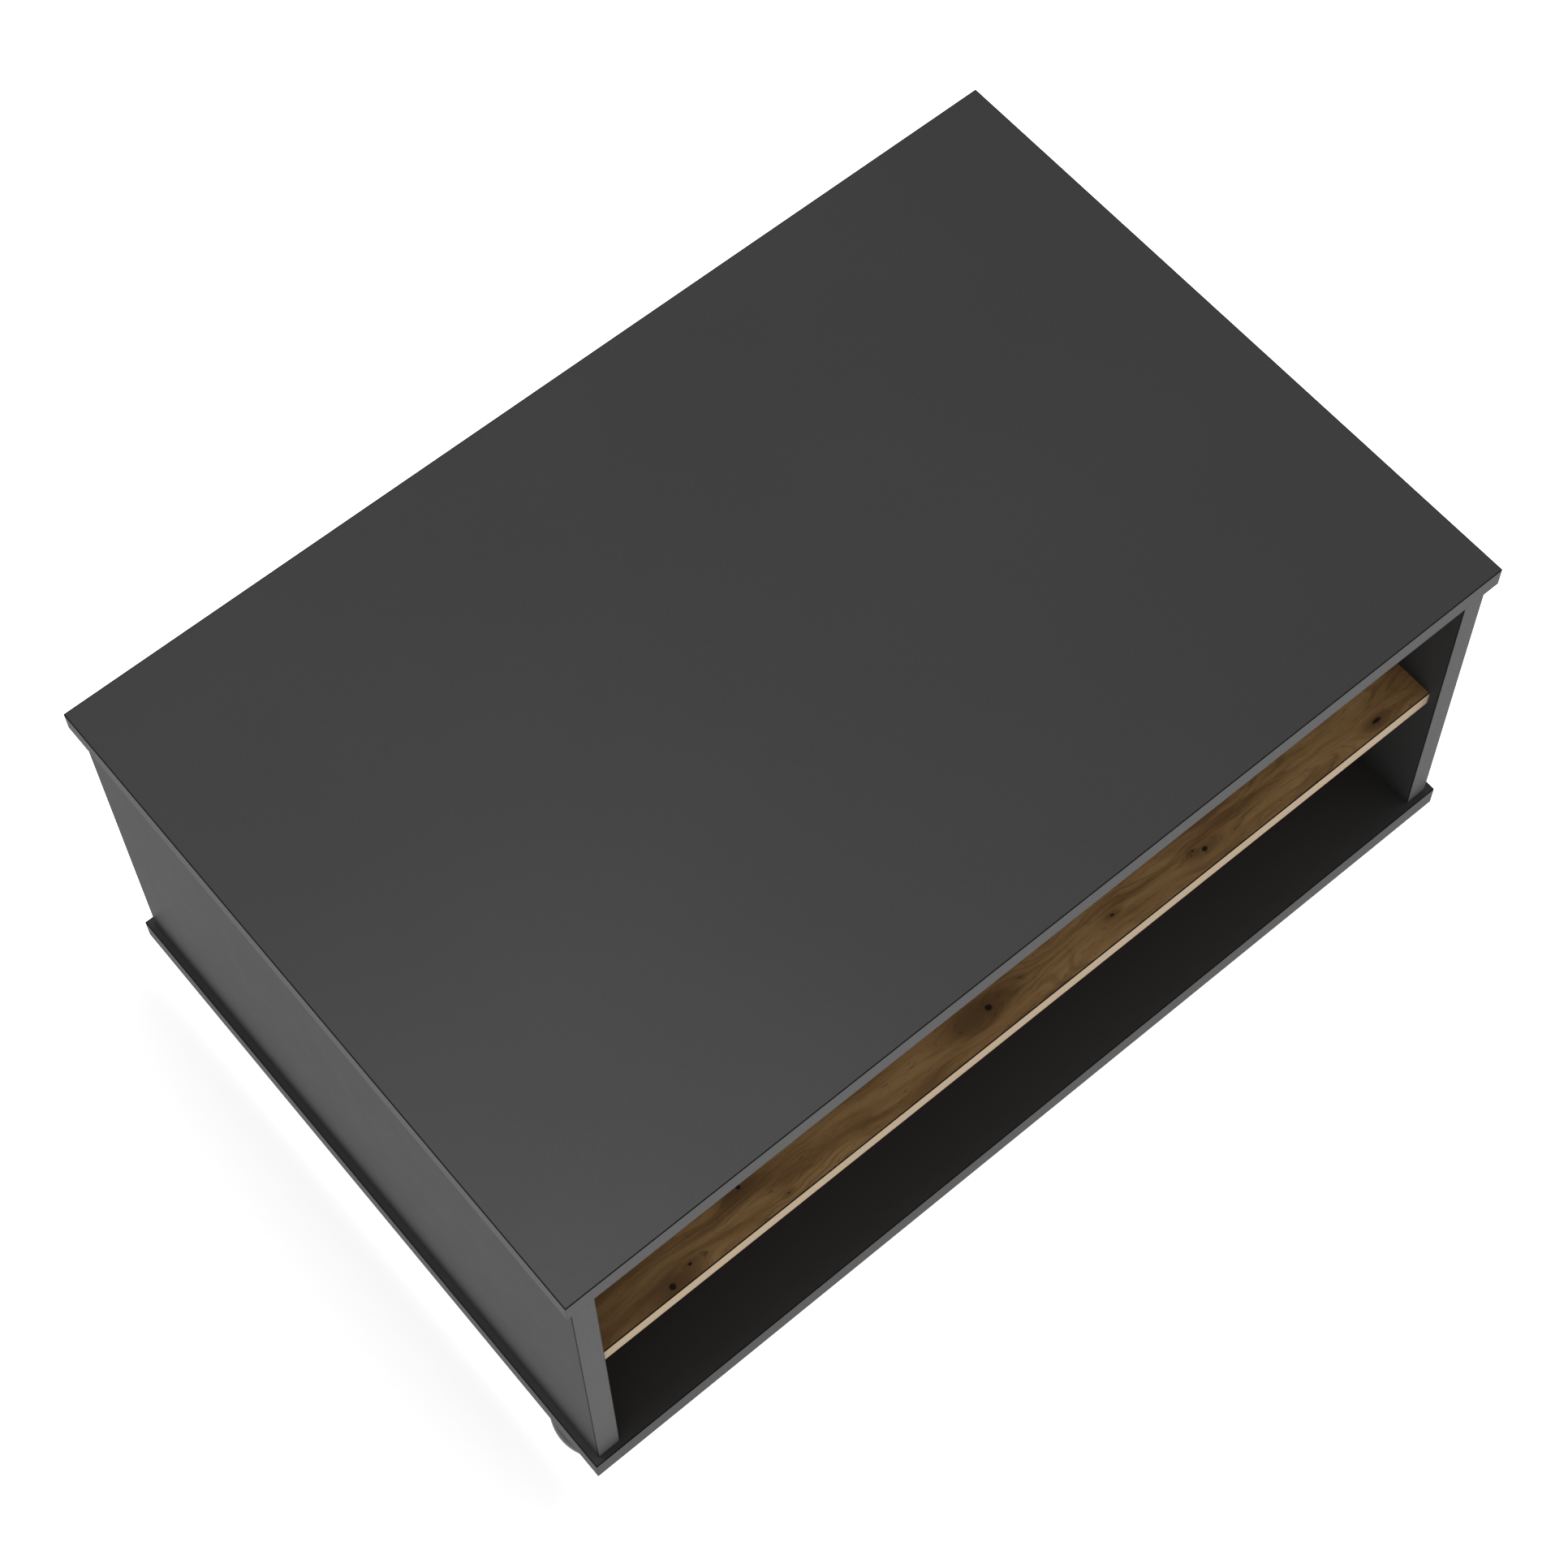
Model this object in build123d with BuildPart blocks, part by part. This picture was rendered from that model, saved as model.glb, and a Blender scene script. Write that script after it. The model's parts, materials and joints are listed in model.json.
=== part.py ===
"""Lift top coffee table: a flat-pack carcass with an oak shelf, and a top on a pair of parallel arms.

Frame: origin on the floor under the middle of the table, +X to the right, +Y to the back, +Z up,
millimetres. The open side of the carcass faces -Y.
"""

from build123d import *
import os
from math import asin, cos, degrees, radians, sin

os.makedirs("parts", exist_ok=True)

# Driving dimensions -------------------------------------------------------------------------

# Plates and carcass
table_length = 1000.0
table_depth = 668.0
foot_height = 52.0
base_thickness = 25.5
side_height = 376.8
rest_gap = 0.5
top_thickness = 23.0
side_thickness = 23.0
side_inset_x = 7.0
side_inset_y = 6.0
band_thickness = 1.0
band_joint = 0.05
arris_radius = 0.6
corner_radius = 0.8

# Shelf and back
shelf_thickness = 18.5
shelf_drop = 202.0
shelf_setback = 16.0
back_thickness = 16.0
back_inset = 6.0

# Bun feet
foot_radius = 46.0
foot_neck_radius = 25.0
foot_neck_height = 14.0
foot_inset_x = 46.0
foot_inset_y = 56.0
back_foot_inset_x = 62.0
foot_neck_chamfer = 1.0
glide_radius = 20.0
glide_thickness = 4.0
glide_show = 2.0
glide_chamfer = 0.8
foot_bolt_radius = 4.0
foot_bolt_in_foot = 30.0
foot_bolt_in_base = 20.0
insert_radius = 6.0
insert_length = 15.0

# Dowels, confirmat screws and cam fittings
dowel_radius = 4.0
dowel_length = 35.0
dowel_chamfer = 0.8
dowel_in_plate = 12.0
dowel_in_side = 11.0
dowel_in_back = 8.0
confirmat_head_radius = 5.0
confirmat_head_height = 3.5
confirmat_radius = 3.5
confirmat_length = 50.0
confirmat_socket_depth = 2.5
cam_radius = 7.5
cam_height = 12.5
cam_from_edge = 34.0
cam_slot = 8.0
cam_mouth_start = 1.0
cam_recess_length = 7.36
cam_recess_width = 1.2
cam_bolt_thread_radius = 3.5
cam_bolt_thread_length = 11.0
cam_bolt_neck_radius = 2.5
cam_bolt_head_length = 2.5
cam_bolt_reach = 31.5

# Rubber buffers let into the top edges of the sides
buffer_radius = 5.0
buffer_depth = 4.5
buffer_stand = 0.4
buffer_y = 290.0

# Lift mechanism
arm_length = 200.0
arm_width = 28.0
arm_thickness = 4.0
arm_rest_angle = 10.0
lift_angle = 108.0
pivot_drop = 24.0
front_pivot_y = -100.0
pivot_spacing = 100.0
pivot_slope = -26.0
plate_thickness = 3.0
layer_gap = 2.0
pin_radius = 5.0
pin_head_radius = 8.0
pin_head_height = 2.0
pin_head_gap = 1.0
pin_chamfer = 0.5
pin_slot_clearance = 0.2
arm_chamfer = 0.4
running_clearance = 0.05
open_pivot_clearance = 0.10
bush_radius = 6.0
bush_flange_radius = 8.0
bush_flange_height = 1.0
washer_radius = 10.0
washer_thickness = 1.6
washer_gap = 0.2
tube_radius = 8.0
tube_wall = 1.5
tube_along_arm = 60.0
stop_pin_radius = 4.0
stop_pin_distance = 45.0
stop_pin_gap = 0.2
spring_wire_radius = 1.5
spring_mean_radius = 8.5
spring_length = 17.0
spring_leg_reach = 40.0
spring_leg_hole_radius = 1.9
spring_hook_radius = 1.4
spring_wall = 3.2
spring_tail_sink = 0.4
spring_hook_gap = 0.5

# Countersunk wood screws of the brackets
screw_head_radius = 4.5
screw_radius = 2.25
screw_length = 18.0
screw_tip = 4.0
recess_length = 4.6
recess_width = 1.0
recess_depth = 1.4
countersink_angle = 90.0

# Levels and lines worked out from them -------------------------------------------------------

half_length = table_length / 2
half_depth = table_depth / 2
base_low = foot_height
base_top = base_low + base_thickness
side_top = base_top + side_height
top_low = side_top + rest_gap
table_height = top_low + top_thickness
shelf_top = table_height - shelf_drop
shelf_low = shelf_top - shelf_thickness
shelf_mid = (shelf_top + shelf_low) / 2

side_outer = half_length - side_inset_x
side_inner = side_outer - side_thickness
side_mid = (side_outer + side_inner) / 2
side_front = -half_depth + side_inset_y
side_back = half_depth - side_inset_y
back_outer = side_back - back_inset
back_inner = back_outer - back_thickness
back_mid = (back_inner + back_outer) / 2
shelf_front = -half_depth + shelf_setback

foot_y = half_depth - foot_inset_y
front_foot_x = half_length - foot_inset_x
back_foot_x = half_length - back_foot_inset_x
foot_places = [
    (-front_foot_x, -foot_y),
    (front_foot_x, -foot_y),
    (-back_foot_x, foot_y),
    (back_foot_x, foot_y),
]

base_side_dowel_ys = (-260.0, 0.0, 250.0)
base_side_screw_ys = (-150.0, 150.0)
base_back_dowel_xs = (-300.0, 0.0, 300.0)
base_back_screw_xs = (-150.0, 150.0)
shelf_dowel_ys = (-220.0, 160.0)
shelf_cam_ys = (-260.0, 220.0)
shelf_back_dowel_xs = (-200.0, 200.0)
back_dowel_zs = (130.0, 400.0)
back_cam_zs = (170.0, 360.0)

# Side view of the mechanism: every pivot is a (y, z) pair.
plate_inner = side_inner - plate_thickness
arm_outer = plate_inner - layer_gap
arm_inner = arm_outer - arm_thickness
flange_outer = arm_inner - layer_gap
flange_inner = flange_outer - plate_thickness


def toward(start, angle, distance):
    """Point at a distance from a (y, z) pair, at an angle above the +Y direction."""
    return (start[0] + distance * cos(radians(angle)), start[1] + distance * sin(radians(angle)))


front_lower = (front_pivot_y, top_low - pivot_drop - arm_length * sin(radians(arm_rest_angle)))
rear_lower = toward(front_lower, pivot_slope, pivot_spacing)
front_upper = toward(front_lower, arm_rest_angle, arm_length)
rear_upper = toward(rear_lower, arm_rest_angle, arm_length)
tube_place = toward(front_lower, arm_rest_angle, tube_along_arm)
stop_lean = degrees(asin((arm_width / 2 + stop_pin_radius + stop_pin_gap) / stop_pin_distance))
stop_place = toward(front_lower, arm_rest_angle + lift_angle + stop_lean, stop_pin_distance)

base_plate_outline = [
    (-152.0, 440.0),
    (-152.0, 378.0),
    (-104.0, 330.0),
    (34.0, 330.0),
    (34.0, 384.0),
    (-50.0, 440.0),
]
base_plate_foot = (-92.0, 24.0)
base_plate_foot_depth = 12.0
base_plate_corner = 9.0
base_plate_screws = [(-137.0, 390.0), (-100.0, 356.0), (-62.0, 412.0), (-52.0, 345.0), (20.0, 372.0)]

top_plate_margin = 16.0
top_plate_front_drop = 6.0
top_plate_back_drop = 15.0
top_plate_back_reach = 12.0
top_plate_corner = 8.0
top_flange_corner = 6.0
top_flange_width = 34.0
top_flange_ends = (62.0, 222.0)
top_plate_screw_ys = (76.0, 118.0, 166.0, 208.0)
top_plate_screw_x = flange_inner - top_flange_width / 2 + plate_thickness

plus_x = Vector(1, 0, 0)
plus_y = Vector(0, 1, 0)
plus_z = Vector(0, 0, 1)


# Helpers: each adds to, or cuts from, the part whose block calls it --------------------------


def box_between(low, high, mode=Mode.ADD):
    """Box from its lowest corner to its highest."""
    with Locations(low):
        Box(*[h - l for l, h in zip(low, high)], align=(Align.MIN,) * 3, mode=mode)


def rod(start, direction, radius, length, mode=Mode.ADD):
    """Round rod from a point, along a direction."""
    with Locations(Plane(origin=start, z_dir=direction)):
        Cylinder(radius, length, align=(Align.CENTER, Align.CENTER, Align.MIN), mode=mode)


def bore(mouth, outward, radius, depth):
    """Blind hole whose mouth is a point on a face with an outward normal."""
    with Locations(Plane(origin=mouth, z_dir=outward)):
        Hole(radius, depth)


def save(piece, name):
    """Label a finished piece and write its file."""
    piece.part.label = name
    export_step(piece.part, f"parts/{name}.step")


def both_sides(values):
    """Pair each value with the right side and the left side."""
    return [(side, value) for side in (1, -1) for value in values]


# Fastener prototypes, each standing on its own origin and pointing down ----------------------

with BuildPart() as dowel:
    Cylinder(dowel_radius, dowel_length, align=(Align.CENTER, Align.CENTER, Align.MAX))
    chamfer(dowel.edges().filter_by(GeomType.CIRCLE), dowel_chamfer)

with BuildPart() as wood_screw:
    with BuildSketch(Plane.XZ):
        with BuildLine():
            Polyline(
                (0, 0),
                (screw_head_radius, 0),
                (screw_radius, screw_radius - screw_head_radius),
                (screw_radius, screw_tip - screw_length),
                (0, -screw_length),
                close=True,
            )
        make_face()
    revolve(axis=Axis.Z)
    for turn in (0, 90):
        with Locations(Location((0, 0, 0), (0, 0, turn))):
            Box(
                recess_length,
                recess_width,
                recess_depth,
                align=(Align.CENTER, Align.CENTER, Align.MAX),
                mode=Mode.SUBTRACT,
            )

with BuildPart() as confirmat:
    Cylinder(
        confirmat_head_radius, confirmat_head_height, align=(Align.CENTER, Align.CENTER, Align.MAX)
    )
    rod((0, 0, 0), -plus_z, confirmat_radius, confirmat_length)
    with BuildSketch(Plane.XY):
        RegularPolygon(confirmat_head_radius / 2, 6)
    extrude(amount=-confirmat_socket_depth, mode=Mode.SUBTRACT)

# The cam bolt lies along -Z from the face of the side, with its thread above that face.
with BuildPart() as cam_bolt:
    rod((0, 0, 0), plus_z, cam_bolt_thread_radius, cam_bolt_thread_length)
    rod((0, 0, 0), -plus_z, cam_bolt_neck_radius, cam_bolt_reach)
    rod(
        (0, 0, cam_bolt_head_length - cam_bolt_reach),
        -plus_z,
        cam_bolt_thread_radius,
        cam_bolt_head_length,
    )

# The cam lock hangs below its face, with its mouth towards +X.
with BuildPart() as cam_lock:
    Cylinder(cam_radius, cam_height, align=(Align.CENTER, Align.CENTER, Align.MAX))
    with Locations((cam_mouth_start, 0, -cam_height)):
        Box(
            cam_radius,
            cam_slot,
            cam_slot,
            align=(Align.MIN, Align.CENTER, Align.MIN),
            mode=Mode.SUBTRACT,
        )
    for turn in (45, 135):
        with Locations(Location((0, 0, 0), (0, 0, turn))):
            Box(
                cam_recess_length,
                cam_recess_width,
                recess_depth,
                align=(Align.CENTER, Align.CENTER, Align.MAX),
                mode=Mode.SUBTRACT,
            )


# Where each fastener stands ------------------------------------------------------------------

base_dowel_mouths = [
    (side * side_mid, y, base_top) for side, y in both_sides(base_side_dowel_ys)
] + [(x, back_mid, base_top) for x in base_back_dowel_xs]
confirmat_mouths = [(side * side_mid, y, base_low) for side, y in both_sides(base_side_screw_ys)] + [
    (x, back_mid, base_low) for x in base_back_screw_xs
]


# Plates with their edge bands ----------------------------------------------------------------


def plate_core(low, high):
    """The board inside the edge bands."""
    x = half_length - band_thickness
    y = half_depth - band_thickness
    box_between((-x, -y, low), (x, y, high))


with BuildPart() as base_panel:
    plate_core(base_low, base_top)
    for mouth in base_dowel_mouths:
        bore(mouth, plus_z, dowel_radius, dowel_in_plate)
    for mouth in confirmat_mouths:
        bore(mouth, -plus_z, confirmat_head_radius, confirmat_head_height)
        bore(mouth, -plus_z, confirmat_radius, base_thickness)
    for x, y in foot_places:
        bore((x, y, base_low), -plus_z, insert_radius, insert_length)
        bore((x, y, base_low), -plus_z, foot_bolt_radius, foot_bolt_in_base)
save(base_panel, "base_panel")

# Four straight bands round each plate: long ones front and back, and short ones between them
# with a hairline joint at each end.
for bands_name, low, high in (
    ("base_edge_bands", base_low, base_top),
    ("top_edge_bands", top_low, table_height),
):
    with BuildPart() as long_band:
        box_between(
            (-half_length, -half_depth, low), (half_length, -half_depth + band_thickness, high)
        )
        fillet(long_band.faces().sort_by(Axis.Y)[0].edges().filter_by(Axis.X), arris_radius)
        fillet(long_band.edges().filter_by(Axis.Z).group_by(Axis.Y)[0], corner_radius)
    with BuildPart() as short_band:
        box_between(
            (-half_length, -half_depth + band_thickness + band_joint, low),
            (-half_length + band_thickness, half_depth - band_thickness - band_joint, high),
        )
        fillet(short_band.faces().sort_by(Axis.X)[0].edges().filter_by(Axis.Y), arris_radius)
    with BuildPart() as edge_bands:
        with Locations(*[Location((0, 0, 0), (0, 0, turn)) for turn in (0, 180)]):
            add(long_band.part)
            add(short_band.part)
    save(edge_bands, bands_name)

top_screw_mouths = [
    (side * top_plate_screw_x, y, top_low) for side, y in both_sides(top_plate_screw_ys)
]

with BuildPart() as top_panel:
    plate_core(top_low, table_height)
    for mouth in top_screw_mouths:
        bore(mouth, -plus_z, screw_radius, screw_length - plate_thickness)
save(top_panel, "top_panel")


# Sides ---------------------------------------------------------------------------------------


def side_bores():
    """Every hole in the right-hand side: edges, inner face, and buffer seats."""
    for y in base_side_dowel_ys:
        bore((side_mid, y, base_top), -plus_z, dowel_radius, dowel_length - dowel_in_plate)
    for y in base_side_screw_ys:
        bore((side_mid, y, base_top), -plus_z, confirmat_radius, confirmat_length - base_thickness)
    for y in shelf_dowel_ys:
        bore((side_inner, y, shelf_mid), -plus_x, dowel_radius, dowel_in_side)
    for y in shelf_cam_ys:
        bore((side_inner, y, shelf_mid), -plus_x, cam_bolt_thread_radius, cam_bolt_thread_length)
    for z in back_dowel_zs:
        bore((side_inner, back_mid, z), -plus_x, dowel_radius, dowel_in_side)
    for z in back_cam_zs:
        bore((side_inner, back_mid, z), -plus_x, cam_bolt_thread_radius, cam_bolt_thread_length)
    for y, z in base_plate_screws:
        bore((side_inner, y, z), -plus_x, screw_radius, screw_length - plate_thickness)
    for y in (-buffer_y, buffer_y):
        bore((side_mid, y, side_top), plus_z, buffer_radius, buffer_depth)


with BuildPart() as right_side_panel:
    box_between(
        (side_inner, side_front + band_thickness, base_top),
        (side_outer, side_back, side_top - band_thickness),
    )
    side_bores()
save(right_side_panel, "right_side_panel")

with BuildPart() as left_side_panel:
    mirror(right_side_panel.part, about=Plane.YZ)
save(left_side_panel, "left_side_panel")

with BuildPart() as front_strip:
    box_between(
        (side_inner, side_front, base_top), (side_outer, side_front + band_thickness, side_top)
    )
    fillet(front_strip.faces().sort_by(Axis.Y)[0].edges().filter_by(Axis.Z), arris_radius)

with BuildPart() as top_strip:
    box_between(
        (side_inner, side_front + band_thickness + band_joint, side_top - band_thickness),
        (side_outer, side_back, side_top),
    )
    for y in (-buffer_y, buffer_y):
        bore((side_mid, y, side_top), plus_z, buffer_radius, band_thickness)

with BuildPart() as side_edge_bands:
    add(front_strip.part)
    add(top_strip.part)
    mirror(about=Plane.YZ)
save(side_edge_bands, "side_edge_bands")

with BuildPart() as rest_buffers:
    for y in (-buffer_y, buffer_y):
        seat = (side_mid, y, side_top - buffer_depth)
        rod(seat, plus_z, buffer_radius, buffer_depth + buffer_stand)
    fillet(rest_buffers.edges().group_by(Axis.Z)[-1], buffer_stand)
    mirror(about=Plane.YZ)
save(rest_buffers, "rest_buffers")


# Shelf and back ------------------------------------------------------------------------------

with BuildPart() as oak_shelf:
    box_between(
        (-side_inner, shelf_front + band_thickness, shelf_low), (side_inner, back_inner, shelf_top)
    )
    for side, y in both_sides(shelf_dowel_ys):
        edge = (side * side_inner, y, shelf_mid)
        bore(edge, side * plus_x, dowel_radius, dowel_length - dowel_in_side)
    for side, y in both_sides(shelf_cam_ys):
        bore((side * side_inner, y, shelf_mid), side * plus_x, cam_slot / 2, cam_from_edge)
        cam_mouth = (side * (side_inner - cam_from_edge), y, shelf_low)
        bore(cam_mouth, -plus_z, cam_radius, cam_height)
    for x in shelf_back_dowel_xs:
        bore((x, back_inner, shelf_mid), plus_y, dowel_radius, dowel_length - dowel_in_back)
save(oak_shelf, "oak_shelf")

with BuildPart() as shelf_front_band:
    box_between(
        (-side_inner, shelf_front, shelf_low), (side_inner, shelf_front + band_thickness, shelf_top)
    )
    fillet(shelf_front_band.faces().sort_by(Axis.Y)[0].edges().filter_by(Axis.X), arris_radius)
save(shelf_front_band, "shelf_front_band")

with BuildPart() as back_panel:
    box_between((-side_inner, back_inner, base_top), (side_inner, back_outer, side_top))
    for x in base_back_dowel_xs:
        bore((x, back_mid, base_top), -plus_z, dowel_radius, dowel_length - dowel_in_plate)
    for x in base_back_screw_xs:
        bore((x, back_mid, base_top), -plus_z, confirmat_radius, confirmat_length - base_thickness)
    for x in shelf_back_dowel_xs:
        bore((x, back_inner, shelf_mid), -plus_y, dowel_radius, dowel_in_back)
    for side, z in both_sides(back_dowel_zs):
        edge = (side * side_inner, back_mid, z)
        bore(edge, side * plus_x, dowel_radius, dowel_length - dowel_in_side)
    for side, z in both_sides(back_cam_zs):
        bore((side * side_inner, back_mid, z), side * plus_x, cam_slot / 2, cam_from_edge)
        cam_mouth = (side * (side_inner - cam_from_edge), back_inner, z)
        bore(cam_mouth, -plus_y, cam_radius, cam_height)
save(back_panel, "back_panel")


# Carcass fasteners ---------------------------------------------------------------------------

with BuildPart() as base_dowels:
    lift = plus_z * (dowel_length - dowel_in_plate)
    with Locations(*[Plane(origin=Vector(mouth) + lift, z_dir=plus_z) for mouth in base_dowel_mouths]):
        add(dowel.part)
save(base_dowels, "base_dowels")

with BuildPart() as base_screws:
    with Locations(*[Plane(origin=mouth, z_dir=-plus_z) for mouth in confirmat_mouths]):
        add(confirmat.part)
save(base_screws, "base_screws")

with BuildPart() as shelf_dowels:
    ends = [
        Plane(origin=(side * (side_inner + dowel_in_side), y, shelf_mid), z_dir=side * plus_x)
        for side, y in both_sides(shelf_dowel_ys)
    ]
    ends += [
        Plane(origin=(x, back_inner + dowel_in_back, shelf_mid), z_dir=plus_y)
        for x in shelf_back_dowel_xs
    ]
    with Locations(*ends):
        add(dowel.part)
save(shelf_dowels, "shelf_dowels")

with BuildPart() as back_dowels:
    ends = [
        Plane(origin=(side * (side_inner + dowel_in_side), back_mid, z), z_dir=side * plus_x)
        for side, z in both_sides(back_dowel_zs)
    ]
    with Locations(*ends):
        add(dowel.part)
save(back_dowels, "back_dowels")

with BuildPart() as shelf_cam_bolts:
    faces = [
        Plane(origin=(side * side_inner, y, shelf_mid), z_dir=side * plus_x)
        for side, y in both_sides(shelf_cam_ys)
    ]
    with Locations(*faces):
        add(cam_bolt.part)
save(shelf_cam_bolts, "shelf_cam_bolts")

with BuildPart() as shelf_cam_locks:
    seats = [
        Plane(
            origin=(side * (side_inner - cam_from_edge), y, shelf_low),
            x_dir=side * plus_x,
            z_dir=-plus_z,
        )
        for side, y in both_sides(shelf_cam_ys)
    ]
    with Locations(*seats):
        add(cam_lock.part)
save(shelf_cam_locks, "shelf_cam_locks")

with BuildPart() as back_cam_bolts:
    faces = [
        Plane(origin=(side * side_inner, back_mid, z), z_dir=side * plus_x)
        for side, z in both_sides(back_cam_zs)
    ]
    with Locations(*faces):
        add(cam_bolt.part)
save(back_cam_bolts, "back_cam_bolts")

with BuildPart() as back_cam_locks:
    seats = [
        Plane(
            origin=(side * (side_inner - cam_from_edge), back_inner, z),
            x_dir=side * plus_x,
            z_dir=-plus_y,
        )
        for side, z in both_sides(back_cam_zs)
    ]
    with Locations(*seats):
        add(cam_lock.part)
save(back_cam_locks, "back_cam_locks")


# Feet ----------------------------------------------------------------------------------------

bun_low = glide_show
bun_top = foot_height - foot_neck_height
bun_edge = (bun_top - bun_low) / 2

with BuildPart() as bun_foot:
    with BuildSketch(Plane.XZ):
        with BuildLine():
            Line((0, bun_low), (foot_radius - bun_edge, bun_low))
            RadiusArc((foot_radius - bun_edge, bun_low), (foot_radius, bun_low + bun_edge), -bun_edge)
            RadiusArc((foot_radius, bun_low + bun_edge), (foot_radius - bun_edge, bun_top), -bun_edge)
            Polyline(
                (foot_radius - bun_edge, bun_top),
                (foot_neck_radius, bun_top),
                (foot_neck_radius, foot_height),
                (0, foot_height),
                (0, bun_low),
            )
        make_face()
    revolve(axis=Axis.Z)
    neck_top = bun_foot.faces().sort_by(Axis.Z)[-1]
    chamfer(neck_top.edges(), foot_neck_chamfer)
    bore((0, 0, bun_low), -plus_z, glide_radius, glide_thickness - glide_show)
    bore((0, 0, foot_height), plus_z, foot_bolt_radius, foot_bolt_in_foot)

foot_names = ("foot_front_left", "foot_front_right", "foot_back_left", "foot_back_right")
for foot_name, (x, y) in zip(foot_names, foot_places):
    with BuildPart() as foot:
        with Locations((x, y, 0)):
            add(bun_foot.part)
    save(foot, foot_name)

with BuildPart() as foot_glides:
    with Locations(*[(x, y, 0) for x, y in foot_places]):
        Cylinder(glide_radius, glide_thickness, align=(Align.CENTER, Align.CENTER, Align.MIN))
    chamfer(foot_glides.edges().group_by(Axis.Z)[0], glide_chamfer)
save(foot_glides, "foot_glides")

with BuildPart() as foot_bolts:
    for x, y in foot_places:
        start = (x, y, foot_height - foot_bolt_in_foot)
        rod(start, plus_z, foot_bolt_radius, foot_bolt_in_foot + foot_bolt_in_base)
save(foot_bolts, "foot_bolts")

with BuildPart() as foot_inserts:
    for x, y in foot_places:
        rod((x, y, base_low), plus_z, insert_radius, insert_length)
        rod((x, y, base_low), plus_z, foot_bolt_radius, insert_length, Mode.SUBTRACT)
save(foot_inserts, "foot_inserts")


# Lift mechanism, right-hand side, fixed to the carcass ---------------------------------------

with BuildPart() as right_base_bracket:
    with BuildSketch(Plane.YZ.offset(plate_inner)) as plate_sketch:
        with BuildLine():
            Polyline(*base_plate_outline, close=True)
        make_face()
        fillet(plate_sketch.vertices(), base_plate_corner)
    extrude(amount=plate_thickness)
    foot_start, foot_end = base_plate_foot
    foot_level = base_plate_outline[2][1]
    box_between(
        (plate_inner - base_plate_foot_depth, foot_start, foot_level),
        (plate_inner, foot_end, foot_level + plate_thickness),
    )
    for y, z in (front_lower, rear_lower):
        rod((plate_inner, y, z), plus_x, pin_radius, plate_thickness, Mode.SUBTRACT)
    rod((plate_inner, *stop_place), plus_x, stop_pin_radius, plate_thickness, Mode.SUBTRACT)
    with Locations(*[Plane(origin=(plate_inner, y, z), z_dir=-plus_x) for y, z in base_plate_screws]):
        CounterSinkHole(screw_radius, screw_head_radius, plate_thickness, countersink_angle)
save(right_base_bracket, "right_base_bracket")

with BuildPart() as left_base_bracket:
    mirror(right_base_bracket.part, about=Plane.YZ)
save(left_base_bracket, "left_base_bracket")

with BuildPart() as base_bracket_screws:
    with Locations(*[Plane(origin=(plate_inner, y, z), z_dir=-plus_x) for y, z in base_plate_screws]):
        add(wood_screw.part)
    mirror(about=Plane.YZ)
save(base_bracket_screws, "base_bracket_screws")

# The front pin runs on inwards through the spring, and its end is slotted for the spring's tail.
spring_outer = arm_inner - bush_flange_height - layer_gap
spring_inner = spring_outer - spring_length
tail_mid = spring_inner + spring_tail_sink - spring_wire_radius
front_pin_end = tail_mid - spring_wire_radius - layer_gap
pin_slot_width = 2 * spring_wire_radius + pin_slot_clearance

with BuildPart() as front_lower_pins:
    rod((front_pin_end, *front_lower), plus_x, pin_radius, side_inner - front_pin_end)
    slot_half = pin_slot_width / 2
    y, z = front_lower
    box_between(
        (front_pin_end, y - slot_half, z - pin_radius),
        (tail_mid + slot_half, y + slot_half, z + pin_radius),
        Mode.SUBTRACT,
    )
    mirror(about=Plane.YZ)
save(front_lower_pins, "front_lower_pins")

rear_pin_head = arm_inner - bush_flange_height - pin_head_gap

with BuildPart() as rear_lower_pins:
    rod((rear_pin_head, *rear_lower), plus_x, pin_radius, side_inner - rear_pin_head)
    rod((rear_pin_head, *rear_lower), -plus_x, pin_head_radius, pin_head_height)
    chamfer(rear_lower_pins.edges().group_by(Axis.X)[0], pin_chamfer)
    mirror(about=Plane.YZ)
save(rear_lower_pins, "rear_lower_pins")

with BuildPart() as stop_pins:
    rod((arm_inner, *stop_place), plus_x, stop_pin_radius, side_inner - arm_inner)
    chamfer(stop_pins.edges().group_by(Axis.X)[0], pin_chamfer)
    mirror(about=Plane.YZ)
save(stop_pins, "stop_pins")

with BuildPart() as pivot_washers:
    for pivot in (front_lower, rear_lower):
        washer_start = (arm_outer + washer_gap, *pivot)
        rod(washer_start, plus_x, washer_radius, washer_thickness)
        bore_radius = pin_radius + running_clearance
        rod(washer_start, plus_x, bore_radius, washer_thickness, Mode.SUBTRACT)
    mirror(about=Plane.YZ)
save(pivot_washers, "pivot_washers")


# Arms ----------------------------------------------------------------------------------------


def arm_bar(lower):
    """Flat bar with round ends, bored for its bushes, from its lower pivot."""
    upper = toward(lower, arm_rest_angle, arm_length)
    with BuildSketch(Plane.YZ.offset(arm_inner)) as profile:
        with Locations(toward(lower, arm_rest_angle, arm_length / 2)):
            SlotCenterToCenter(arm_length, arm_width, rotation=arm_rest_angle)
        with Locations(lower, upper):
            Circle(bush_radius, mode=Mode.SUBTRACT)
    extrude(profile.sketch, amount=arm_thickness)


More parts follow.
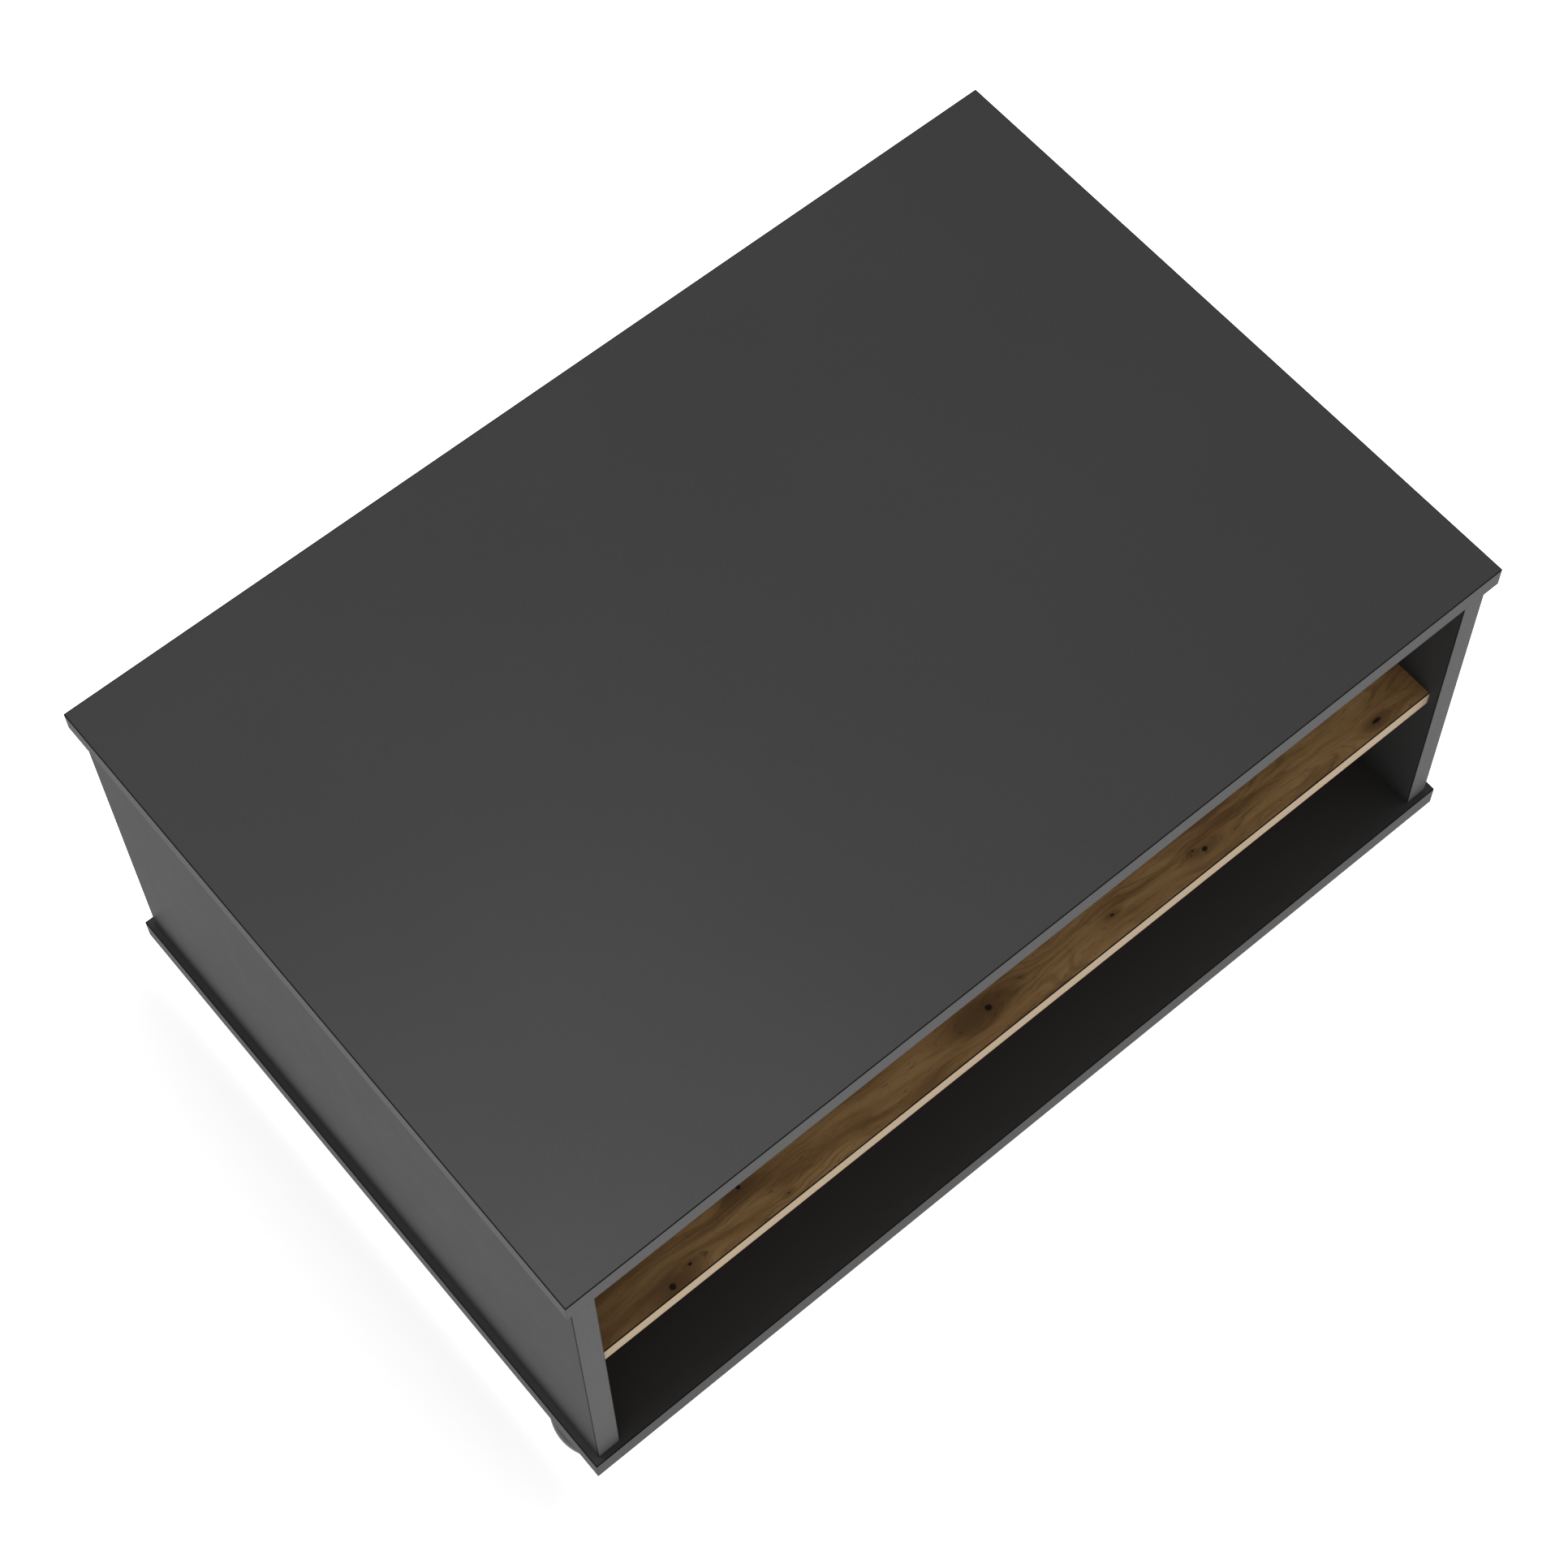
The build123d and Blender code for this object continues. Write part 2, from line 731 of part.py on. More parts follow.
def bushes(pivots, bore_radii):
    """Flanged bushes pressed into an arm from its inner face."""
    for pivot, radius in zip(pivots, bore_radii):
        start = (arm_inner - bush_flange_height, *pivot)
        rod(start, plus_x, bush_flange_radius, bush_flange_height)
        rod(start, plus_x, bush_radius, bush_flange_height + arm_thickness)
        rod(start, plus_x, radius, bush_flange_height + arm_thickness, Mode.SUBTRACT)


spring_leg_end = toward(
    toward(front_lower, arm_rest_angle - 90, spring_mean_radius), arm_rest_angle, spring_leg_reach
)
running_bore = pin_radius + running_clearance
open_bore = pin_radius + open_pivot_clearance

with BuildPart() as right_front_arm:
    arm_bar(front_lower)
    rod((arm_inner, *spring_leg_end), plus_x, spring_leg_hole_radius, arm_thickness, Mode.SUBTRACT)
    chamfer(right_front_arm.faces().sort_by(Axis.X)[0].outer_wire().edges(), arm_chamfer)
save(right_front_arm, "right_front_arm")

with BuildPart() as left_front_arm:
    mirror(right_front_arm.part, about=Plane.YZ)
save(left_front_arm, "left_front_arm")

with BuildPart() as front_arm_bushes:
    bushes((front_lower, front_upper), (running_bore, running_bore))
    mirror(about=Plane.YZ)
save(front_arm_bushes, "front_arm_bushes")

with BuildPart() as cross_tube:
    rod((-arm_inner, *tube_place), plus_x, tube_radius, 2 * arm_inner)
    rod((-arm_inner, *tube_place), plus_x, tube_radius - tube_wall, 2 * arm_inner, Mode.SUBTRACT)
save(cross_tube, "cross_tube")

with BuildPart() as right_rear_arm:
    arm_bar(rear_lower)
    chamfer(right_rear_arm.faces().sort_by(Axis.X)[0].outer_wire().edges(), arm_chamfer)
save(right_rear_arm, "right_rear_arm")

with BuildPart() as left_rear_arm:
    mirror(right_rear_arm.part, about=Plane.YZ)
save(left_rear_arm, "left_rear_arm")

with BuildPart() as rear_arm_bushes:
    bushes((rear_lower, rear_upper), (running_bore, open_bore))
    mirror(about=Plane.YZ)
save(rear_arm_bushes, "rear_arm_bushes")


# Torsion springs round the front pivots ------------------------------------------------------

with BuildPart() as right_lift_spring:
    coil_start = (spring_inner, *front_lower)
    rod(coil_start, plus_x, spring_mean_radius + spring_wall / 2, spring_length)
    rod(coil_start, plus_x, spring_mean_radius - spring_wall / 2, spring_length, Mode.SUBTRACT)
    tail_low = (tail_mid, front_lower[0], front_lower[1] - spring_mean_radius)
    rod(tail_low, plus_z, spring_wire_radius, 2 * spring_mean_radius)
    leg_x = spring_outer - spring_wall / 2
    leg_start = toward(front_lower, arm_rest_angle - 90, spring_mean_radius)
    leg_length = spring_leg_reach + spring_wire_radius
    leg_way = Vector(0, cos(radians(arm_rest_angle)), sin(radians(arm_rest_angle)))
    rod((leg_x, *leg_start), leg_way, spring_wire_radius, leg_length)
    hook_end = arm_outer - spring_hook_gap
    rod((leg_x, *spring_leg_end), plus_x, spring_hook_radius, hook_end - leg_x)
save(right_lift_spring, "right_lift_spring")

with BuildPart() as left_lift_spring:
    mirror(right_lift_spring.part, about=Plane.YZ)
save(left_lift_spring, "left_lift_spring")


# Brackets and pins of the top ----------------------------------------------------------------

top_plate_outline = [
    (front_upper[0] - top_plate_margin, top_low),
    (front_upper[0] - top_plate_margin, front_upper[1] - top_plate_front_drop),
    (rear_upper[0] - top_plate_back_reach, rear_upper[1] - top_plate_back_drop),
    (rear_upper[0] + top_plate_margin, rear_upper[1] - top_plate_back_drop),
    (rear_upper[0] + top_plate_margin, top_low),
]

with BuildPart() as right_top_bracket:
    with BuildSketch(Plane.YZ.offset(flange_inner)) as web_sketch:
        with BuildLine():
            Polyline(*top_plate_outline, close=True)
        make_face()
        fillet(web_sketch.vertices().group_by(Axis.Z)[:-1], top_plate_corner)
    extrude(amount=plate_thickness)
    flange_low = top_low - plate_thickness
    box_between(
        (flange_outer - top_flange_width, top_flange_ends[0], flange_low),
        (flange_outer, top_flange_ends[1], top_low),
    )
    fillet(right_top_bracket.edges().filter_by(Axis.Z).group_by(Axis.X)[0], top_flange_corner)
    for y, z in (front_upper, rear_upper):
        rod((flange_inner, y, z), plus_x, pin_radius, plate_thickness, Mode.SUBTRACT)
    mouths = [(top_plate_screw_x, y, flange_low) for y in top_plate_screw_ys]
    with Locations(*[Plane(origin=mouth, z_dir=-plus_z) for mouth in mouths]):
        CounterSinkHole(screw_radius, screw_head_radius, plate_thickness, countersink_angle)
save(right_top_bracket, "right_top_bracket")

with BuildPart() as left_top_bracket:
    mirror(right_top_bracket.part, about=Plane.YZ)
save(left_top_bracket, "left_top_bracket")

with BuildPart() as top_bracket_screws:
    with Locations(*[Plane(origin=mouth, z_dir=-plus_z) for mouth in mouths]):
        add(wood_screw.part)
    mirror(about=Plane.YZ)
save(top_bracket_screws, "top_bracket_screws")


def upper_pin(pivot):
    """Shouldered pin riveted through the web of the top bracket, with a head outside the arm."""
    outer_head = arm_outer + pin_head_gap
    rod((flange_inner, *pivot), plus_x, pin_radius, outer_head - flange_inner)
    rod((outer_head, *pivot), plus_x, pin_head_radius, pin_head_height)
    rod((flange_inner, *pivot), -plus_x, pin_head_radius, pin_head_height)


for pin_name, pivot in (("front_upper_pins", front_upper), ("rear_upper_pins", rear_upper)):
    with BuildPart() as upper_pins:
        upper_pin(pivot)
        mirror(about=Plane.YZ)
    save(upper_pins, pin_name)

# What the record needs, to be read after a run.
print("table", table_length, table_depth, table_height)
print("lift pivot", front_lower, "rear pivot", rear_lower)
print("top pivot", front_upper, "open pivot", rear_upper)
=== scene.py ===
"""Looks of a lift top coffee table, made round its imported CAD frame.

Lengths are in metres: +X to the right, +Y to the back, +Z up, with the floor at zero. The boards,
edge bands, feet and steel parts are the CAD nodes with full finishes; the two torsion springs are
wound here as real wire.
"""

import json
import math

import bpy
from bpy.props import FloatProperty, FloatVectorProperty, IntProperty, PointerProperty
from mathutils import Matrix, Vector


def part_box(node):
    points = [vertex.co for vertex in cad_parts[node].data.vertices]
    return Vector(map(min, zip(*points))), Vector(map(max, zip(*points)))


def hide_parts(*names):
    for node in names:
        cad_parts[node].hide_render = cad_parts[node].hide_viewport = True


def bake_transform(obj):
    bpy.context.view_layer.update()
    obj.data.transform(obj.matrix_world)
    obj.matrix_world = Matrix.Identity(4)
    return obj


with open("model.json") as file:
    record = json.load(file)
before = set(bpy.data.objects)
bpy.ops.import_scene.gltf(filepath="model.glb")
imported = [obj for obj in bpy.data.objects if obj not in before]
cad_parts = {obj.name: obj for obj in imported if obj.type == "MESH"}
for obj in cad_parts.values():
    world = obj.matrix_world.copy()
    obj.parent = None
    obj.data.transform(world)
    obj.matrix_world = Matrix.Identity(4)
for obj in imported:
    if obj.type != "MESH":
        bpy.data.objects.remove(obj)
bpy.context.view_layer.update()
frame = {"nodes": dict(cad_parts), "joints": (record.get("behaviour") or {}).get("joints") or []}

bl_info = {
    "name": "Lift Top Coffee Table",
    "version": (1, 0, 0),
    "blender": (4, 5, 0),
    "location": "3D View > Sidebar > Lift Table",
    "description": "Finishes, springs and studio for a lift top coffee table",
    "category": "Object",
}

MM = 0.001


# What a user would change ----------------------------------------------------------------------


def colour(name, default, description):
    """A colour property, in linear light."""
    return FloatVectorProperty(
        name=name, description=description, default=default, size=3, min=0, max=1, subtype="COLOR"
    )


def share(name, default, description):
    """A property from nought to one."""
    return FloatProperty(
        name=name, description=description, default=default, min=0, max=1, subtype="FACTOR"
    )


def distance(name, default, description):
    """A length property, in metres."""
    return FloatProperty(
        name=name,
        description=description,
        default=default,
        min=0,
        subtype="DISTANCE",
        unit="LENGTH",
    )


class TableColours(bpy.types.PropertyGroup):
    """Colours of the table's finishes."""

    graphite: colour("Graphite", (0.0405, 0.0405, 0.0405), "Melamine faces of the boards")
    graphite_edge: colour("Graphite edge", (0.076, 0.076, 0.076), "Edge bands of top and sides")
    # Darker than the graphite edge: painted shade of the floor close below the base's bands.
    base_edge: colour("Base edge", (0.058, 0.058, 0.058), "Edge bands of the base")
    glue_line: colour("Glue line", (0.010, 0.010, 0.010), "Thin line where a face meets its band")
    oak_dark: colour("Dark oak", (0.140, 0.071, 0.028), "Late wood and the shade round the knots")
    oak_mid: colour("Oak", (0.297, 0.162, 0.060), "Body of the oak decor")
    oak_light: colour("Light oak", (0.420, 0.248, 0.099), "Pale streaks of the oak decor")
    oak_edge: colour("Oak edge", (0.400, 0.304, 0.204), "Front band of the shelf")
    knot: colour("Knot", (0.018, 0.009, 0.005), "Heart of the knots")
    foot: colour("Foot", (0.066, 0.066, 0.067), "Lacquer on the turned feet")
    steel: colour("Powder coat", (0.016, 0.016, 0.017), "Arms, brackets and cross tube")
    zinc: colour("Zinc plate", (0.560, 0.570, 0.590), "Screws, pins and bolts")
    spring: colour("Spring wire", (0.170, 0.170, 0.175), "Oiled wire of the torsion springs")
    nylon_dark: colour("Dark nylon", (0.66, 0.64, 0.58), "Darker tone of bushes and washers")
    nylon_light: colour("Light nylon", (0.78, 0.77, 0.72), "Lighter tone of bushes and washers")
    rubber: colour("Rubber", (0.013, 0.013, 0.013), "Buffers and glides")
    rubber_bloom: colour("Rubber bloom", (0.034, 0.034, 0.033), "Dusty bloom on the rubber")
    beech_dark: colour("Dark beech", (0.46, 0.30, 0.17), "Darker tone of the dowels")
    beech_light: colour("Light beech", (0.58, 0.40, 0.24), "Lighter tone of the dowels")
    beech_fleck: colour("Beech fleck", (0.26, 0.14, 0.07), "Short flecks in the dowels")


class TableSurfaces(bpy.types.PropertyGroup):
    """How the table's surfaces feel: gloss, grain and line widths."""

    laminate_roughness: share("Laminate roughness", 0.39, "Higher is more matt")
    laminate_gloss: share("Laminate gloss", 0.022, "Strength of the sheen on the board faces")
    pearl_share: share("Pearl share", 0.26, "Share of metallic pigment in the board faces")
    edge_roughness: share("Edge roughness", 0.38, "Roughness of the edge bands")
    edge_gloss: share("Edge gloss", 0.014, "Strength of the sheen on the edge bands")
    glue_line_width: distance("Glue line width", 0.8 * MM, "Width of the dark line at an arris")
    pearl_size: distance("Pearl size", 0.7 * MM, "Size of the laminate's fine texture")
    pearl_depth: distance("Pearl depth", 0.012 * MM, "Depth of the laminate's fine texture")
    pore_depth: distance("Pore depth", 0.05 * MM, "Depth of the oak decor's pores")
    pearl_tint: share("Pearl tint", 0.45, "How much of the metallic sheen is left at a low angle")
    band_line_depth: distance("Band line depth", 0.02 * MM, "Depth of the lines along the bands")
    turning_depth: distance("Turning depth", 0.015 * MM, "Depth of the turning rings on the feet")
    peel_depth: distance("Peel depth", 0.05 * MM, "Depth of the powder coat's orange peel")
    fleck_depth: distance("Fleck depth", 0.05 * MM, "Depth of the flecks in the dowels")
    spring_turns: IntProperty(
        name="Spring turns", description="Whole turns of each spring", default=5, min=2, max=9
    )
    spring_wire: distance("Spring wire", 3.0 * MM, "Diameter of the spring wire")


class TableStudio(bpy.types.PropertyGroup):
    """Floor, lights and camera."""

    floor_colour: colour("Floor", (0.40, 0.40, 0.40), "Plain floor, lit from below as well")
    floor_glow: FloatProperty(
        name="Floor glow", description="Light from below, all round the table", default=1.25, min=0
    )
    left_glow: FloatProperty(
        name="Left glow",
        description="Light from below, at the table's left side",
        default=0.66,
        min=0,
    )
    floor_size: distance("Floor size", 40.0, "Length of each side of the floor")
    sky_low: FloatProperty(name="Low sky", description="Light from the sides", default=0.82, min=0)
    sky_high: FloatProperty(name="High sky", description="Light from above", default=0.71, min=0)
    overhead: FloatProperty(
        name="Overhead", description="Soft box above the table", default=44.0, min=0, unit="POWER"
    )
    overhead_size: distance("Overhead size", 1.1, "Side of the soft box")
    overhead_height: distance("Overhead height", 2.6, "From the table top up to the soft box")
    overhead_x: FloatProperty(
        name="Overhead right", description="Place of the soft box", default=-0.37, unit="LENGTH"
    )
    overhead_y: FloatProperty(
        name="Overhead back", description="Place of the soft box", default=0.10, unit="LENGTH"
    )
    lens: FloatProperty(
        name="Lens", description="Focal length", default=82.45, min=1, unit="CAMERA"
    )
    camera_distance: distance("Camera distance", 2.986, "From the camera to what it aims at")
    aim_x: FloatProperty(
        name="Aim right", description="What the camera aims at", default=0.018, unit="LENGTH"
    )
    aim_y: FloatProperty(
        name="Aim back", description="What the camera aims at", default=-0.005, unit="LENGTH"
    )
    shift_x: FloatProperty(name="Shift right", description="Lens shift", default=-0.0169)
    shift_y: FloatProperty(name="Shift up", description="Lens shift", default=-0.0963)
    azimuth: FloatProperty(
        name="Azimuth",
        description="Heading of the view, from the back towards the right",
        default=math.radians(39.38),
        subtype="ANGLE",
    )
    elevation: FloatProperty(
        name="Elevation",
        description="How steeply the camera looks down",
        default=math.radians(60.19),
        subtype="ANGLE",
    )
    roll: FloatProperty(
        name="Roll", description="Tilt of the camera", default=math.radians(-0.84), subtype="ANGLE"
    )


# Places taken from the frame -------------------------------------------------------------------

BOARDS = ("top_panel", "base_panel", "left_side_panel", "right_side_panel", "back_panel")
TOP_BAND = "top_edge_bands"
BASE_BAND = "base_edge_bands"
SIDE_BANDS = "side_edge_bands"
SHELF = "oak_shelf"
SHELF_BAND = "shelf_front_band"
FEET = ("foot_front_left", "foot_front_right", "foot_back_left", "foot_back_right")
STEEL_PARTS = (
    "left_front_arm",
    "right_front_arm",
    "left_rear_arm",
    "right_rear_arm",
    "cross_tube",
    "left_base_bracket",
    "right_base_bracket",
    "left_top_bracket",
    "right_top_bracket",
)
ZINC_PARTS = (
    "front_lower_pins",
    "rear_lower_pins",
    "front_upper_pins",
    "rear_upper_pins",
    "stop_pins",
    "base_bracket_screws",
    "top_bracket_screws",
    "base_screws",
    "shelf_cam_bolts",
    "back_cam_bolts",
    "foot_bolts",
    "foot_inserts",
)
CAST_PARTS = ("shelf_cam_locks", "back_cam_locks")
NYLON_PARTS = ("front_arm_bushes", "rear_arm_bushes", "pivot_washers")
RUBBER_PARTS = ("rest_buffers", "foot_glides")
DOWELS = ("base_dowels", "shelf_dowels", "back_dowels")

# Knots of the shelf: distance from its left end, distance from its front edge, radius, and stretch
# along the shelf.
KNOTS = (
    (0.082, 0.006, 0.0034, 1.0),
    (0.105, 0.012, 0.0014, 1.6),
    (0.177, 0.038, 0.0026, 0.9),
    (0.206, 0.007, 0.0009, 1.0),
    (0.441, 0.025, 0.0034, 1.1),
    (0.579, 0.021, 0.0012, 2.2),
    (0.673, 0.021, 0.0009, 2.0),
    (0.683, 0.016, 0.0025, 1.3),
    (0.885, 0.010, 0.0021, 2.8),
    (0.300, 0.310, 0.0050, 1.2),
    (0.640, 0.420, 0.0060, 1.1),
    (0.150, 0.500, 0.0040, 1.4),
    (0.800, 0.230, 0.0035, 1.3),
)


# How far a knot's shade and its pull on the grain reach, in knot radii, how strong the pull is, and
# how both are stretched along the shelf.
KNOT_SHADE_REACH = 4.5
KNOT_PULL_REACH = 7
KNOT_PULL = -0.75
KNOT_SHADE_STRETCH = 0.34

# How far slow waves and quick curls push the grain sideways, and how close the rings lie.
GRAIN_WAVE = 0.055
GRAIN_CURL = 0.012
RINGS_PER_FLAME = 150.0


# Building finishes -----------------------------------------------------------------------------


class Finish:
    """A material under way: its nodes, its shader, and short ways to add to them."""

    def __init__(self, name):
        self.material = bpy.data.materials.new(name)
        self.material.use_nodes = True
        self.tree = self.material.node_tree
        self.shader = self.tree.nodes["Principled BSDF"]
        self.place = self.node("ShaderNodeTexCoord").outputs["Object"]

    def node(self, kind, inputs=None, **settings):
        """A node with its settings, and its inputs linked or set."""
        made = self.tree.nodes.new(kind)
        for key, value in settings.items():
            setattr(made, key, value)
        for key, value in (inputs or {}).items():
            self.feed(made.inputs[key], value)
        return made

    def feed(self, socket, value):
        """Link an output to a socket, or set the socket's own value."""
        if isinstance(value, bpy.types.NodeSocket):
            self.tree.links.new(value, socket)
        else:
            socket.default_value = value

    def set(self, **inputs):
        """Feed the shader's inputs, named with underscores for spaces."""
        for key, value in inputs.items():
            self.feed(self.shader.inputs[key.replace("_", " ")], value)

    def maths(self, operation, first, second=0.0, third=0.0):
        """One step of arithmetic."""
        return self.node(
            "ShaderNodeMath", {0: first, 1: second, 2: third}, operation=operation
        ).outputs[0]

    def vector(self, operation, first, second=(0, 0, 0), output="Vector"):
        """One step of vector arithmetic."""
        return self.node(
            "ShaderNodeVectorMath", {0: first, 1: second}, operation=operation
        ).outputs[output]

    def scaled(self, per_metre, place=None):
        """The place, stretched to so many units per metre along each axis."""
        return self.vector("MULTIPLY", place or self.place, per_metre)

    def noise(self, place, detail=2.0, rough=0.5):
        """Soft noise from 0 to 1 at a place that is already scaled."""
        inputs = {"Vector": place, "Scale": 1.0, "Detail": detail, "Roughness": rough}
        return self.node("ShaderNodeTexNoise", inputs).outputs["Fac"]

    def spread(self, value, low, high, to_low=0.0, to_high=1.0):
        """A value's range spread smoothly over another."""
        inputs = {
            "Value": value,
            "From Min": low,
            "From Max": high,
            "To Min": to_low,
            "To Max": to_high,
        }
        made = self.node("ShaderNodeMapRange", inputs, interpolation_type="SMOOTHSTEP")
        return made.outputs["Result"]

    def mix(self, factor, first, second):
        """Mix two colours."""
        made = self.node("ShaderNodeMix", data_type="RGBA")
        sockets = {s.identifier: s for s in made.inputs}
        self.feed(sockets["Factor_Float"], factor)
        self.feed(sockets["A_Color"], first)
        self.feed(sockets["B_Color"], second)
        return next(s for s in made.outputs if s.identifier == "Result_Color")

    def axes(self, place=None):
        """The three parts of a place."""
        return self.node("ShaderNodeSeparateXYZ", {"Vector": place or self.place}).outputs

    def near(self, value, levels, width):
        """1 where a value lies within a width of any level, else 0."""
        found = None
        for level in levels:
            gap = self.maths("ABSOLUTE", self.maths("SUBTRACT", value, level))
            hit = self.spread(gap, width * 0.8, width * 1.1, 1.0, 0.0)
            found = hit if found is None else self.maths("MAXIMUM", found, hit)
        return found

    def bump(self, height, depth):
        """Raise the surface by a height from 0 to 1, as deep as depth."""
        inputs = {"Height": height, "Distance": depth, "Strength": 1.0}
        self.set(Normal=self.node("ShaderNodeBump", inputs).outputs["Normal"])


def opaque(rgb):
    """A colour with full alpha."""
    return (*rgb, 1.0)


def shaded(rgb, factor):
    """A colour made lighter or darker, with full alpha."""
    return opaque([min(1.0, c * factor) for c in rgb])


def colours():
    return bpy.context.scene.lift_table_colours


def surfaces():
    return bpy.context.scene.lift_table_surfaces


def dress(names, finish):
    """Give CAD nodes one finish."""
    for name in names:
        slots = frame["nodes"][name].data.materials
        slots.clear()
        slots.append(finish.material)


def graphite_laminate():
    """Matt graphite melamine: fine pearl texture, faint clouding, and a little rub at random."""
    look = Finish("graphite laminate")
    pearl = look.noise(look.scaled([1 / surfaces().pearl_size] * 3), 2.0, 0.55)
    cloud = look.noise(look.scaled((3.0, 3.0, 3.0)), 3.0, 0.5)
    rub = look.noise(look.scaled((16.0, 22.0, 16.0)), 4.0, 0.62)
    base = colours().graphite
    face = look.mix(look.spread(cloud, 0.3, 0.7), shaded(base, 0.965), shaded(base, 1.035))
    speck = look.spread(pearl, 0.35, 0.65)
    face = look.mix(speck, face, look.mix(0.5, face, shaded(base, 1.16)))
    rough = surfaces().laminate_roughness
    sheen_change = look.spread(rub, 0.35, 0.75, rough + 0.008, rough - 0.008)
    look.set(Base_Color=face, Roughness=sheen_change, IOR=1.5)
    look.set(Specular_IOR_Level=surfaces().laminate_gloss, Metallic=surfaces().pearl_share)
    look.set(Specular_Tint=opaque([surfaces().pearl_tint] * 3))
    look.bump(pearl, surfaces().pearl_depth)
    return look


def banding(name, base, along, rims):
    """Edge band: satin plastic with faint lines along its length and a dark line at each rim.

    along is the axis that the band's lines follow, and rims lists (axis, levels) of its edges.
    """
    look = Finish(name)
    stretch = [1400.0] * 3
    stretch[along] = 40.0
    lines = look.noise(look.scaled(stretch), 3.0, 0.6)
    cloud = look.noise(look.scaled((5.0, 5.0, 5.0)), 2.0, 0.5)
    face = look.mix(look.spread(lines, 0.3, 0.7), shaded(base, 0.95), shaded(base, 1.05))
    face = look.mix(look.spread(cloud, 0.3, 0.7), look.mix(0.3, face, shaded(base, 0.92)), face)
    parts = look.axes()
    width = surfaces().glue_line_width
    for axis, levels in rims:
        value = look.maths("ABSOLUTE", parts[axis])
        face = look.mix(look.near(value, levels, width), face, opaque(colours().glue_line))
    look.set(Base_Color=face, Roughness=surfaces().edge_roughness, IOR=1.5)
    look.set(Specular_IOR_Level=surfaces().edge_gloss)
    look.bump(lines, surfaces().band_line_depth)
    return look


def oak_decor():
    """Wild oak decor: clouded golden brown, grain that swirls and bends round knots, and pores."""
    look = Finish("oak decor")
    low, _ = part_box(SHELF)
    level = look.vector("MULTIPLY", look.place, (1, 1, 0))
    flat = look.vector("SUBTRACT", level, (low.x, low.y, 0))
    along, depth, _ = look.axes(flat)
    wave = look.noise(look.scaled((4.0, 13.0, 1.0), flat), 2.0, 0.5)
    curl = look.noise(look.scaled((17.0, 40.0, 1.0), flat), 2.0, 0.5)
    across = look.maths("MULTIPLY_ADD", look.maths("SUBTRACT", wave, 0.5), GRAIN_WAVE, depth)
    across = look.maths("MULTIPLY_ADD", look.maths("SUBTRACT", curl, 0.5), GRAIN_CURL, across)
    heart, halo = 0.0, 0.0
    for x, y, radius, stretch in KNOTS:
        offset = look.vector("SUBTRACT", flat, (x, y, 0))
        round_knot = look.scaled((1 / stretch, 1, 0), offset)
        round_shade = look.scaled((KNOT_SHADE_STRETCH, 1, 0), offset)
        near = look.vector("LENGTH", round_knot, output="Value")
        wide = look.vector("LENGTH", round_shade, output="Value")
        spot = look.spread(near, radius * 0.60, radius * 1.15, 1.0, 0.0)
        shade = look.spread(wide, radius, radius * KNOT_SHADE_REACH, 1.0, 0.0)
        pull = look.spread(wide, radius, radius * KNOT_PULL_REACH, KNOT_PULL, 0.0)
        push = look.maths("MULTIPLY", look.axes(offset)[1], pull)
        across = look.maths("ADD", across, push)
        heart = look.maths("MAXIMUM", heart, spot)
        halo = look.maths("MAXIMUM", halo, shade)
    grain = look.node("ShaderNodeCombineXYZ", {"X": along, "Y": across}).outputs[0]

    cloud = look.noise(look.scaled((6.5, 56.0, 1.0), grain), 3.0, 0.55)
    flame = look.noise(look.scaled((4.0, 26.0, 1.0), grain), 1.0, 0.4)
    patch = look.noise(look.scaled((7.0, 24.0, 1.0), flat), 2.0, 0.5)
    streak = look.noise(look.scaled((14.0, 430.0, 1.0), grain), 4.0, 0.62)
    pore = look.noise(look.scaled((105.0, 1000.0, 1.0), grain), 2.0, 0.5)
    lines = look.maths("SINE", look.maths("MULTIPLY", flame, RINGS_PER_FLAME))
    rings = look.maths("MULTIPLY", look.spread(lines, 0.1, 1.0), look.spread(patch, 0.42, 0.60))

    dark, mid, light = colours().oak_dark, colours().oak_mid, colours().oak_light
    face = look.mix(look.spread(cloud, 0.42, 0.64), opaque(mid), opaque(light))
    face = look.mix(look.spread(cloud, 0.50, 0.30, 0.0, 0.75), face, opaque(dark))
    face = look.mix(look.maths("MULTIPLY", rings, 0.42), face, opaque(dark))
    face = look.mix(look.spread(streak, 0.54, 0.72, 0.0, 0.45), face, shaded(dark, 1.1))
    face = look.mix(look.spread(streak, 0.44, 0.26, 0.0, 0.40), face, shaded(light, 1.15))
    pores = look.spread(pore, 0.60, 0.72, 0.0, 0.6)
    face = look.mix(pores, face, shaded(dark, 0.55))
    # Darker towards the shelf's left end, where it meets the left side panel: painted shade.
    face = look.mix(look.spread(along, 0.13, 0.02, 0.0, 0.35), face, opaque(dark))
    face = look.mix(look.maths("MULTIPLY", halo, 0.62), face, shaded(dark, 0.9))
    face = look.mix(heart, face, opaque(colours().knot))
    rough = look.spread(streak, 0.3, 0.7, 0.46, 0.56)
    look.set(Base_Color=face, Roughness=rough, IOR=1.48, Specular_IOR_Level=0.3)
    relief = look.maths("SUBTRACT", look.maths("MULTIPLY", streak, 0.4), pores)
    look.bump(look.maths("SUBTRACT", relief, heart), surfaces().pore_depth)
    return look


